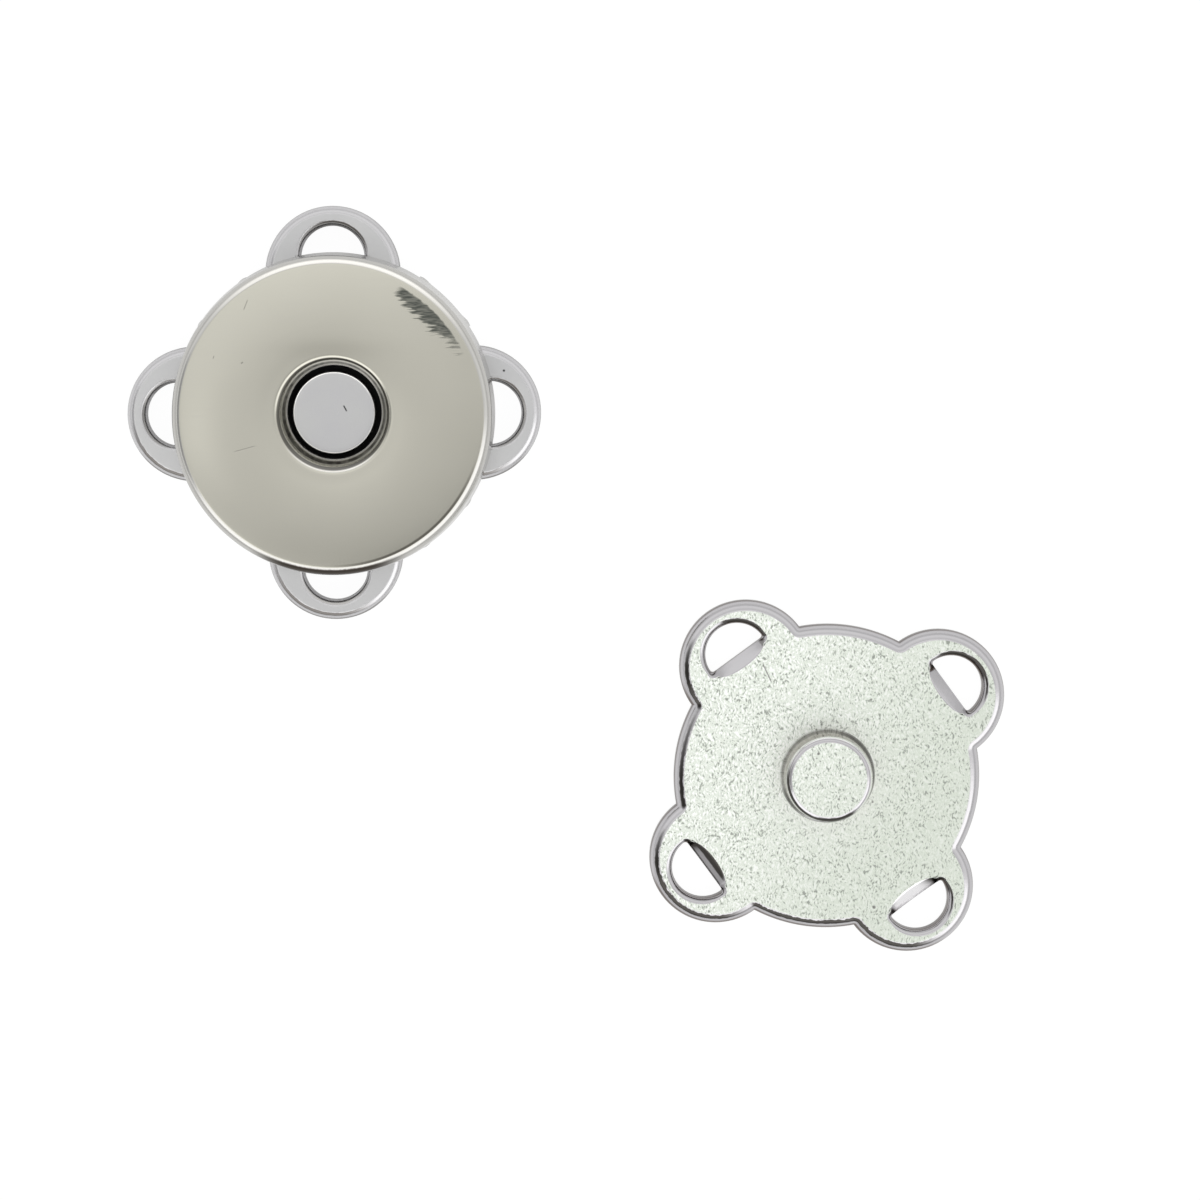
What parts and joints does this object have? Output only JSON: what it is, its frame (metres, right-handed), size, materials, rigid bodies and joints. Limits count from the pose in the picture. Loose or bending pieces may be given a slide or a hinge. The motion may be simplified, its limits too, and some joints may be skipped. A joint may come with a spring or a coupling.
{
  "type": "sew-on magnetic snap",
  "caption": "Sew-on magnetic snap: a capped ring magnet with a socket, and a stud on a flat plate, each half with round holed ears for sewing thread.",
  "frame": {"origin": "middle of the magnet half's flat back, on the surface that both halves lie on", "axes": "+Z out of the socket, away from the cloth; +X and +Y through two of the magnet half's ears, +X towards the side where the stud half lies"},
  "size_m": [0.0383, 0.033, 0.0035],
  "materials": {
    "cap_plating": "polished nickel plating, faintly brushed",
    "ferrite": "sintered, matt black",
    "pole_iron": "satin nickel plating",
    "satin_plating": "satin nickel plating",
    "barrel_plating": "barrel plated, matt with fine dark specks, edges tumbled bright",
    "stud_plating": "barrel plated, matt top with a bright rounded rim"
  },
  "bodies": {
    "root": {"magnet_cap": "cap_plating", "ring_magnet": "ferrite", "pole_rivet": "pole_iron", "magnet_ear_plate": "satin_plating", "stud_ear_plate": "barrel_plating", "stud": "stud_plating"}
  },
  "joints": []
}
